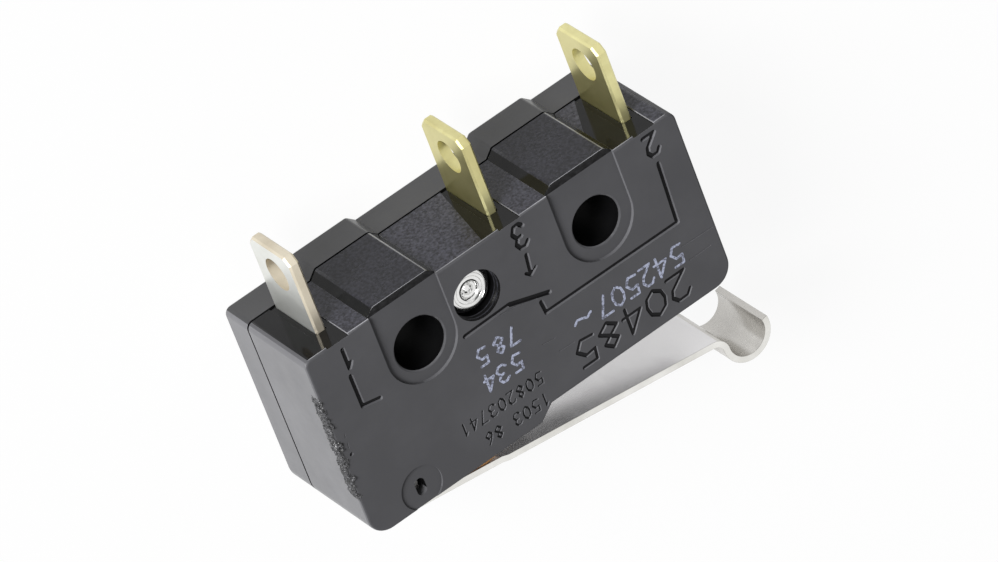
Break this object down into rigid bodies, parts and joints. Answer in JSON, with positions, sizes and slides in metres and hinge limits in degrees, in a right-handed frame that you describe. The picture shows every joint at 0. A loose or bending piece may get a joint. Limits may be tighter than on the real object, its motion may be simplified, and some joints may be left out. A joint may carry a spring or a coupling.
{
  "type": "lever micro switch",
  "caption": "Subminiature snap-action switch with solder terminals and a hinged lever whose end is bent into a simulated roller.",
  "frame": {"origin": "on the back face, midway between the axes of the two mounting holes", "axes": "+Z out of the marked front face, +Y towards the lever side (terminals point to -Y), +X towards the hinge end"},
  "size_m": [0.0212, 0.0185, 0.0064],
  "materials": {
    "case_plastic": "fine spark-eroded grain",
    "cover_plastic": "fine spark-eroded grain",
    "plunger_plastic": "amber, smooth",
    "brass_blade": "rolled, with cut edges",
    "silvered_blade": "silver plated, with cut edges",
    "lever_steel": "rolled stainless strip",
    "rivet_metal": "nickel plated",
    "spring_metal": "beryllium copper strip",
    "contact_silver": "satin silver"
  },
  "bodies": {
    "case": {"front_case": "case_plastic", "back_cover": "cover_plastic", "rivet": "rivet_metal", "com_terminal": "silvered_blade", "no_terminal": "brass_blade", "nc_terminal": "brass_blade", "no_contact": "contact_silver", "nc_contact": "contact_silver"},
    "lever": {"lever": "lever_steel"},
    "plunger": {"plunger": "plunger_plastic"},
    "blade": {"moving_blade": "spring_metal", "moving_contact": "contact_silver", "snap_spring": "spring_metal"}
  },
  "joints": [
    {"name": "lever_hinge", "type": "hinge", "parent": "case", "child": "lever", "pos_m": [0.00715, 0.00622, 0.0032], "axis": [0, 0, 1], "range_deg": [0, 10.9], "stiffness_Nm_per_rad": 0.012, "springref_deg": -14.32},
    {"name": "plunger_travel", "type": "slide", "parent": "case", "child": "plunger", "axis": [0, -1, 0], "range_m": [0, 0.000727], "deforming": ["snap_spring"]},
    {"name": "blade_swing", "type": "hinge", "parent": "case", "child": "blade", "pos_m": [0.0054, 0.00372, 0.0035], "axis": [0, 0, 1], "range_deg": [0, 2.3]}
  ],
  "couplings": [
    {"joint": "plunger_travel", "follows": "lever_hinge", "m_per_rad": 0.0038173},
    {"joint": "blade_swing", "follows": "lever_hinge", "ratio": 0.21026}
  ]
}
